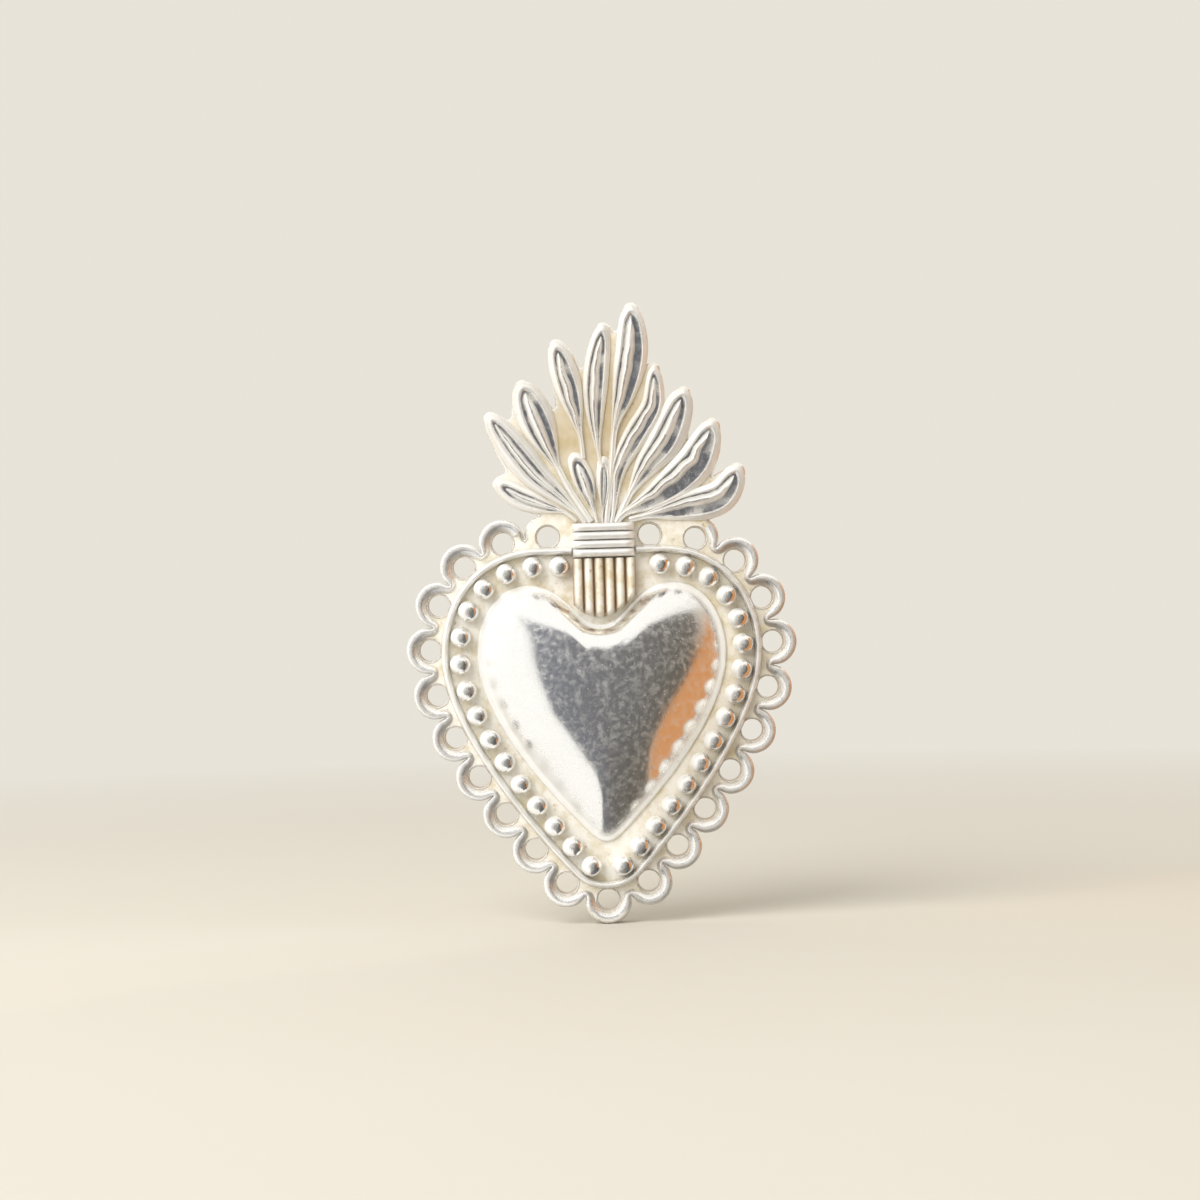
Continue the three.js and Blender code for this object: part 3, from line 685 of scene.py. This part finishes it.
print("leaves and rings:", len(LEAVES), len(LEAF_RINGS))

# %% Spines and contours
SPINE_STEPS = 32
TIP_PAST_SPINE = 0.24
LEAF_WIDEST = 0.6
RIB_LIMIT = 0.33
RIB_WANDER = 0.22
STALK_SATIN = 0.75
WORN_LIMIT = 0.5
NEAR_ROOT = 0.1
WAY_STEP = 0.05


def held(value):
    """A share held between 0 and 1."""
    return min(1.0, max(0.0, value))


def spine_of(points):
    """A smooth curve through points, as places and distances along it, with so many steps from point to point."""
    knots = [spot(CREST[0] + x, CREST[1] + y) for x, y in points]
    padded = [knots[0], *knots, knots[-1]]
    fine = []
    for before, start, end, after in zip(padded, padded[1:], padded[2:], padded[3:]):
        handles = start + (end - before) / 6, end - (after - start) / 6
        fine += interpolate_bezier(start, *handles, end, SPINE_STEPS + 1)[:-1]
    fine.append(knots[-1])
    fine.append(knots[-1] + (fine[-1] - fine[-4]).normalized() * TIP_PAST_SPINE)
    lengths = np.cumsum([0.0] + [(b - a).length for a, b in zip(fine, fine[1:])])
    return np.array(fine), lengths


def leaf_fullness(share):
    """A leaf's width along its blade: thin at the root, widest past the middle, round at the tip."""
    if share < LEAF_WIDEST:
        return 0.25 + 0.75 * math.sin(math.pi / 2 * max(0.0, share) / LEAF_WIDEST)
    return max(0.0, 1 - ((share - LEAF_WIDEST) / (1 - LEAF_WIDEST)) ** 2) ** 0.62


def leaf(width, inner, rib, lean, stalk, points, steps=40):
    """One tongue, ring by ring from its foot to the crest of its rib."""
    fine, lengths = spine_of(points)
    length, blade_start = lengths[-1], lengths[SPINE_STEPS * stalk]
    bm, satin, shade = bench()
    side = bm.verts.layers.float.new("side")
    along = bm.verts.layers.float.new("along")
    shares = [1 - (1 - step / steps) ** 1.5 for step in range(steps + 1)]
    for share, hand in [(s, -1) for s in shares] + [(s, 1) for s in reversed(shares[:-1])]:
        vert = bm.verts.new()
        vert[along], vert[side] = share, hand
    verts = bm.verts[:]
    edges = [bm.edges.new(pair) for pair in zip(verts, verts[1:] + verts[:1])]
    for index, (border, part, setback, height, rise, left, right, on_rib) in enumerate(LEAF_RINGS):

        def on_leaf(vert):
            blade = (vert[along] * length - blade_start) / (length - blade_start)
            full = leaf_fullness(blade)
            grown = BORDER * held((blade - 0.1) / 0.4) * min(1.0, 2 * full)
            inside = (width / 2 * full + grown) * (1 - border * (1 - inner / (width + 2 * BORDER)))
            sunk = held(blade / 0.25) if border > 0.5 else 1.0
            flat = BORDER_HEIGHT + 0.06 * rise
            up = flat + (height + rise * min(RIB_LIMIT, 0.36 * inner) - flat) * sunk
            reach = vert[along] * (length - min(setback, 0.3 * length))
            past_root = reach > NEAR_ROOT
            ends = (reach - WAY_STEP, reach) if past_root else (reach, reach + WAY_STEP)
            start, end = (Vector([np.interp(at, lengths, axis) for axis in fine.T]) for at in ends)
            way = (end - start).normalized()
            wobble = lean + RIB_WANDER * noise.noise(Vector((1.8 * reach, width * 40, 0)))
            shift = inside * (part * rib * vert[side] + wobble if on_rib else part * vert[side])
            vert.co = (end if past_root else start) + Vector((way.z, 0, -way.x)) * shift
            vert.co += OUT * up * (0.35 + 0.65 * max(full, 0.5))
            worn = min(WORN_LIMIT, max(0.0, 2.2 * noise.noise(vert.co * 1.1) - 0.3))
            skin = max(worn, left if vert[side] < 0 else right)
            vert[satin] = STALK_SATIN + (skin - STALK_SATIN) * sunk

        if index == 0:
            for vert in verts:
                on_leaf(vert)
            foot_edges = edges
        else:
            edges = next_ring(bm, edges, on_leaf)
    bmesh.ops.contextual_create(bm, geom=foot_edges)
    bmesh.ops.remove_doubles(bm, verts=bm.verts, dist=WELD)
    for mark in ("side", "along"):
        bm.verts.layers.float.remove(bm.verts.layers.float[mark])
    return bm


print("widest share of a leaf:", leaf_fullness(LEAF_WIDEST))

# %% Raise the tongues
# The tongues overlap at their roots, so each lies a hair higher than the one before it
TONGUE_STEP = 0.005
tongue_pieces = []
for number, (width, inner, rib, lean, stalk, *points) in enumerate(LEAVES, 1):
    name = f"tongue_{number:02d}"
    made = leaf(width, inner, rib, lean, stalk, points)
    bmesh.ops.translate(made, vec=OUT * TONGUE_STEP * number, verts=made.verts)
    tongue_pieces.append(finished(name, made, "polished_silver", f"flame_{name}"))
print("tongues:", len(tongue_pieces), "with", len(tongue_pieces[0].data.polygons), "faces each")

# %% [markdown]
# ## Finishes
# Both finishes are silver and differ in how far they are polished. Polished silver is a mirror with hair scratches,
# small specks and soft flecks. Where a piece is marked satin, it turns towards the matt finish. That is the white
# skin that the pickle leaves: pale, slightly yellow, with clouds and pits. Between the flames, round their root, it
# is yellow-brown, a stain with painted shade where the leaves crowd, and it is a little yellower towards the right.
# On the polished pieces it is yellow where they meet the plate, dirt with painted shade. Where a piece is marked with
# shade it darkens, as tarnished silver and as painted shade. The patterns use object coordinates, so they stay on
# the metal.


# %% Node helpers
def new_finish(name):
    """An empty material with its shader and a way to add nodes."""
    material = bpy.data.materials.new(name)
    material.use_nodes = True
    tree = material.node_tree

    def put(socket, value):
        if isinstance(value, bpy.types.NodeSocket):
            tree.links.new(value, socket)
        else:
            socket.default_value = value

    def add(kind, settings=(), **inputs):
        node = tree.nodes.new("ShaderNode" + kind)
        for key, value in settings:
            setattr(node, key, value)
        for key, value in inputs.items():
            put(node.inputs[key.replace("_", " ")], value)
        return node

    add.put = put
    return material, tree.nodes["Principled BSDF"], add


def band(add, value, low, high, to_low=0.0, to_high=1.0):
    """Maps a value's range to another, held at both ends."""
    node = add("MapRange", Value=value)
    for socket, number in zip(node.inputs[1:5], (low, high, to_low, to_high)):
        socket.default_value = number
    return node.outputs[0]


def blend(add, factor, low, high):
    """Mixes two colours."""
    node = add("Mix", (("data_type", "RGBA"),))
    for socket, value in zip((node.inputs[0], node.inputs[6], node.inputs[7]), (factor, low, high)):
        add.put(socket, value)
    return node.outputs[2]


def sums(add, operation, first, second):
    """One step of arithmetic."""
    node = add("Math", (("operation", operation),))
    for socket, value in zip(node.inputs, (first, second)):
        add.put(socket, value)
    return node.outputs[0]


print("node helpers:", ", ".join(helper.__name__ for helper in (new_finish, band, blend, sums)))

# %% Silver from matt to mirror
MIRROR_COLOUR = (0.93, 0.92, 0.9, 1.0)
WHITE_SKIN = (0.97, 0.965, 0.95, 1.0), (0.92, 0.9, 0.84, 1.0)
CREAM_SKIN = (0.97, 0.94, 0.87, 1.0), (0.74, 0.66, 0.47, 1.0)
RECESS_COLOUR = (0.46, 0.37, 0.19, 1.0)
GREY_TARNISH = (0.2, 0.2, 0.21, 1.0)
BROWN_TARNISH = (0.42, 0.29, 0.18, 1.0)
STAIN_COLOUR = (0.5, 0.38, 0.19, 1.0)
STAIN_SPOT = (0.0002, -0.0009, 0.0123)
STAIN_REACH = 0.001, 0.0055
STAIN_SIDE = 0.001, 0.006
RECESS_DEPTHS = -0.00104, -0.0009
# Direction and length of the scratches, in radians and metres
SCRATCHES = (0.3, 0.0007), (1.1, 0.0005), (1.9, 0.0009), (2.6, 0.0006)
SCRATCH_WIDTH = 0.00006
# Patterns to the metre
CLOUDS = {"Scale": 1200.0, "Detail": 5.0, "Roughness": 0.65}
GRAIN = {"Scale": 9000.0, "Detail": 3.0, "Roughness": 0.6}
FLECKS = {"Scale": 4000.0, "Detail": 4.0, "Roughness": 0.65}
PITS = 2000.0
SPECKS = 3100.0
FLECKED_POLISH = 0.55
MATT_METALLIC = 0.12
ROUGHNESS = 0.5, 0.12


def silver(name, mark, low, high, skin_colours, recess, tarnish, pitting, stains):
    """Silver whose polish runs from low to high as one mark on the vertices goes from 0 to 1."""
    material, shader, add = new_finish(name)
    place = add("TexCoord").outputs["Object"]
    polish = band(add, add("Attribute", (("attribute_name", mark),)).outputs["Fac"], 0.0, 1.0, low, high)
    shade = add("Attribute", (("attribute_name", "shade"),)).outputs["Fac"]

    clouds = add("TexNoise", Vector=place, **CLOUDS).outputs["Fac"]
    grain = add("TexNoise", Vector=place, **GRAIN).outputs["Fac"]
    cells = add("TexVoronoi", Vector=place, Scale=PITS).outputs["Distance"]
    pit = sums(add, "MULTIPLY", band(add, cells, 0.08, 0.22, 1.0, 0.0), band(add, grain, 0.42, 0.58))
    skin = blend(add, band(add, clouds, 0.45, 0.66), *skin_colours)
    off_spot = add("VectorMath", (("operation", "DISTANCE"),))
    add.put(off_spot.inputs[0], place)
    add.put(off_spot.inputs[1], STAIN_SPOT)
    # Stain and painted shade: yellow-brown round the root of the flames, where the leaves crowd
    skin = blend(add, band(add, off_spot.outputs["Value"], *STAIN_REACH, stains, 0.0), skin, STAIN_COLOUR)
    axes = add("SeparateXYZ", Vector=place).outputs
    # A little yellower towards the right
    skin = blend(add, band(add, axes["X"], *STAIN_SIDE, 0.0, 0.4 * stains), skin, STAIN_COLOUR)
    # Dirt and painted shade: pieces turn olive-yellow low down, where they meet the plate
    skin = blend(add, band(add, axes["Y"], *RECESS_DEPTHS, 0.0, recess), skin, RECESS_COLOUR)
    skin = blend(add, sums(add, "MULTIPLY", pit, pitting), skin, tarnish)

    wear = band(add, add("TexVoronoi", Vector=place, Scale=SPECKS).outputs["Distance"], 0.03, 0.08, 1.0, 0.0)
    for turn, length in SCRATCHES:
        stretched = add(
            "Mapping",
            (("vector_type", "TEXTURE"),),
            Vector=place,
            Rotation=(0.0, turn, 0.0),
            Scale=(SCRATCH_WIDTH, SCRATCH_WIDTH, length),
        ).outputs["Vector"]
        streak = add("TexNoise", Vector=stretched, Scale=1.0, Detail=1.0).outputs["Fac"]
        wear = sums(add, "MAXIMUM", wear, band(add, streak, 0.68, 0.8, 0.0, 0.6))

    flecks = add("TexNoise", Vector=place, **FLECKS).outputs["Fac"]
    flecks = sums(add, "MAXIMUM", sums(add, "MULTIPLY", wear, 0.8), band(add, flecks, 0.46, 0.86))
    mirror = sums(add, "MULTIPLY", polish, band(add, flecks, 0.0, 1.0, 1.0, FLECKED_POLISH))
    colour = blend(add, mirror, skin, MIRROR_COLOUR)
    # The shade mark darkens towards this colour, in tarnished places and as painted shade on the lip, rim foot and
    # holes
    add.put(shader.inputs["Base Color"], blend(add, shade, colour, tarnish))
    add.put(shader.inputs["Metallic"], band(add, mirror, 0.0, 1.0, MATT_METALLIC, 1.0))
    rough = sums(add, "ADD", band(add, mirror, 0.0, 1.0, *ROUGHNESS), sums(add, "MULTIPLY", wear, 0.1))
    add.put(shader.inputs["Roughness"], sums(add, "ADD", rough, sums(add, "MULTIPLY", shade, 0.15)))
    matt_height = sums(add, "SUBTRACT", sums(add, "MULTIPLY", grain, 0.6), pit)
    mirror_height = sums(add, "SUBTRACT", sums(add, "MULTIPLY", clouds, 0.3), sums(add, "MULTIPLY", wear, 0.1))
    height = sums(add, "MULTIPLY", matt_height, sums(add, "SUBTRACT", 1.0, polish))
    height = sums(add, "ADD", height, sums(add, "MULTIPLY", mirror_height, polish))
    bump = add("Bump", Strength=0.3, Distance=0.00003, Height=height)
    add.put(shader.inputs["Normal"], bump.outputs["Normal"])
    print(name, "nodes:", len(material.node_tree.nodes))
    return material


polished = silver(
    "polished_silver", mark="satin", low=1.0, high=0.0, skin_colours=WHITE_SKIN, recess=0.6, tarnish=GREY_TARNISH,
    pitting=0.2, stains=0.3,
)
matt = silver(
    "matt_silver", mark="polish", low=0.0, high=1.0, skin_colours=CREAM_SKIN, recess=0.0, tarnish=BROWN_TARNISH,
    pitting=0.7, stains=0.75,
)

# %% Dress the pieces
matt_pieces = [plate_piece, stem_piece]
polished_pieces = [lip_piece, rim_piece, dome_piece, collar_piece, *bead_pieces, *tongue_pieces]
for finish, pieces in ((matt, matt_pieces), (polished, polished_pieces)):
    for piece in pieces:
        piece.data.materials.append(finish)
print("matt and polished pieces:", len(matt_pieces), len(polished_pieces))

# %% [markdown]
# ## Stage and light
# A pale floor runs on into an equally pale world, so no horizon shows. Silver is only as good as what it mirrors:
# white cards at the left and above give the bright lobes, a dark card behind the camera and on the floor gives the
# grey middle of the heart, and a warm card at the right gives the warm flank. The cards show in mirrors only, so they
# cast neither light nor shadow. One wide soft lamp at the upper left does the lighting, and mirrors don't show it.

# %% Floor
PALE = (0.81, 0.77, 0.69, 1.0)
FLOOR = cad_bounds[0].z / MM - 0.02
FLOOR_HALF = 900
FLOOR_COLOUR = (0.7, 0.66, 0.585, 1.0)
FLOOR_FADE = 0.03, 0.12
scene = bpy.context.scene
scene.view_settings.view_transform = "Standard"


def card(name, material, *corners):
    """A flat stage panel through its corners in millimetres."""
    bm = bmesh.new()
    bm.faces.new([bm.verts.new(Vector(corner) * MM) for corner in corners])
    mesh = bpy.data.meshes.new(name)
    bm.to_mesh(mesh)
    bm.free()
    panel = bpy.data.objects.new(name, mesh)
    scene.collection.objects.link(panel)
    panel.data.materials.append(material)
    return panel


floor_finish, shader, add = new_finish("pale_floor")
shader.inputs["Base Color"].default_value = FLOOR_COLOUR
shader.inputs["Roughness"].default_value = 0.8
shader.inputs["Specular IOR Level"].default_value = 0.1
away = add("VectorMath", (("operation", "LENGTH"),), Vector=add("TexCoord").outputs["Object"]).outputs["Value"]
fade = add("MixShader", Fac=band(add, away, *FLOOR_FADE))
add.put(fade.inputs[1], shader.outputs[0])
add.put(fade.inputs[2], add("Emission", Color=PALE, Strength=1.0).outputs[0])
add.put(floor_finish.node_tree.nodes["Material Output"].inputs["Surface"], fade.outputs[0])
card(
    "floor", floor_finish,
    (-FLOOR_HALF, -FLOOR_HALF, FLOOR), (FLOOR_HALF, -FLOOR_HALF, FLOOR),
    (FLOOR_HALF, FLOOR_HALF, FLOOR), (-FLOOR_HALF, FLOOR_HALF, FLOOR),
)
print("floor at, mm:", round(FLOOR, 2))

# %% World
WORLD_LIGHT = 0.8
world = bpy.data.worlds.new("pale_world")
scene.world = world
world.use_nodes = True
nodes = world.node_tree.nodes
path = nodes.new("ShaderNodeLightPath")
mirrored = nodes.new("ShaderNodeMath")
seen = nodes.new("ShaderNodeMath")
level = nodes.new("ShaderNodeMapRange")
background = nodes["Background"]
background.inputs["Color"].default_value = PALE
level.inputs["To Min"].default_value = WORLD_LIGHT
for socket, output in (
    (mirrored.inputs[0], path.outputs["Is Glossy Ray"]),
    (mirrored.inputs[1], path.outputs["Is Transmission Ray"]),
    (seen.inputs[0], path.outputs["Is Camera Ray"]),
    (seen.inputs[1], mirrored.outputs[0]),
    (level.inputs["Value"], seen.outputs[0]),
    (background.inputs["Strength"], level.outputs[0]),
):
    world.node_tree.links.new(output, socket)
print("world nodes:", len(nodes))

# %% Cards
CARD_ARC = -0.8, 1.05
WHITE_GLOW = ((1.05, 1.04, 1.01, 1.0),) * 2
DARK_GLOW = (0.155, 0.168, 0.205, 1.0), (0.095, 0.084, 0.066, 1.0)
WARM_GLOW = ((0.66, 0.29, 0.1, 1.0),) * 2


def mirror_card(name, colours, *corners):
    """A glowing panel that shows in mirrors only, with one colour at its left and one at its right."""
    material, shader, add = new_finish(name)
    place = add("SeparateXYZ", Vector=add("TexCoord").outputs["Object"])
    turn = sums(add, "ARCTAN2", place.outputs["X"], sums(add, "MULTIPLY", place.outputs["Y"], -1.0))
    glow = add("Emission", Color=blend(add, band(add, turn, *CARD_ARC), *colours), Strength=1.0)
    add.put(material.node_tree.nodes["Material Output"].inputs["Surface"], glow.outputs[0])
    panel = card(name, material, *corners)
    panel.visible_camera = False
    panel.visible_diffuse = False
    panel.visible_shadow = False
    panel.visible_transmission = False


low = FLOOR + 0.5
mirror_card("white_card_left", WHITE_GLOW, (-150, -300, low), (-150, 80, low), (-150, 80, 240), (-150, -300, 240))
mirror_card("white_card_top", WHITE_GLOW, (-150, -260, 170), (220, -260, 170), (220, 200, 170), (-150, 200, 170))
mirror_card("white_card_back", WHITE_GLOW, (-150, 150, 12), (220, 150, 12), (220, 150, 170), (-150, 150, 170))
mirror_card(
    "white_card_low", WHITE_GLOW,
    (-1.3, -1.2, low), (-1.5, -5.8, low), (-4.3, -7.8, low), (-8.5, -10.8, low), (-17.1, -16.5, low),
    (-104.2, -100, low), (-150, -100, low), (-150, 30, low), (-9, 0.5, low),
)
mirror_card(
    "dark_card_front", DARK_GLOW,
    (-104, -100, low), (-104, -100, 49), (-125, -100, 120), (-4, -100, 109), (2, -100, 90), (23, -100, 64),
    (52, -100, 120), (158, -100, 129), (188, -100, 96), (212, -100, 17), (212, -100, low),
)
mirror_card(
    "dark_card_low", DARK_GLOW,
    (-1, -1.2, low), (-1.4, -5.8, low), (-4.1, -7.8, low), (-8.3, -10.8, low), (-16.9, -16.5, low), (-104, -100, low),
    (212, -100, low), (24.8, -14.9, low), (8.4, -5.7, low), (6.8, -1.2, low),
)
mirror_card("warm_card_right", WARM_GLOW, (75, -38, low), (75, 60, low), (75, 60, 70), (75, -30, 70))
mirror_card(
    "warm_card_low", WARM_GLOW,
    (7, -1.2, low), (8.6, -5.7, low), (25, -14.9, low), (75, -38, low), (75, 60, low), (12, 1, low),
)

# %% Lamp
LAMP_PLACE = Vector((-130, -150, 150))
LAMP_AIM = Vector((0, 0, 4))
LAMP_SIZE = 200
LAMP_POWER = 0.62
lamp_data = bpy.data.lights.new("soft_lamp", "AREA")
lamp_data.size = LAMP_SIZE * MM
lamp_data.energy = LAMP_POWER
lamp = bpy.data.objects.new("soft_lamp", lamp_data)
lamp.location = LAMP_PLACE * MM
lamp.rotation_euler = (LAMP_AIM - LAMP_PLACE).to_track_quat("-Z", "Y").to_euler()
lamp.visible_glossy = False
scene.collection.objects.link(lamp)
print("lamp at, mm:", list(LAMP_PLACE))

# %% [markdown]
# ## Camera
# The photograph looks straight at the face from close by, so the camera stands a hand's breadth away, level, with
# its view 50 mm wide at the plate. It rolls a little, as the medal leans in the picture.

# %% Camera
LENS = 80.0
SENSOR = 36.0
VIEW_WIDTH = 50.0
VIEW_CENTRE = (-0.01, 4.585)
ROLL = 1.6
camera_data = bpy.data.cameras.new("camera")
camera_data.lens = LENS
camera_data.sensor_width = SENSOR
camera_data.clip_start = 0.001
camera = bpy.data.objects.new("camera", camera_data)
camera.location = spot(*VIEW_CENTRE, VIEW_WIDTH * LENS / SENSOR) * MM
camera.rotation_euler = (math.pi / 2, math.radians(ROLL), 0.0)
scene.collection.objects.link(camera)
scene.camera = camera
print("camera at, mm:", [round(axis / MM, 1) for axis in camera.location])
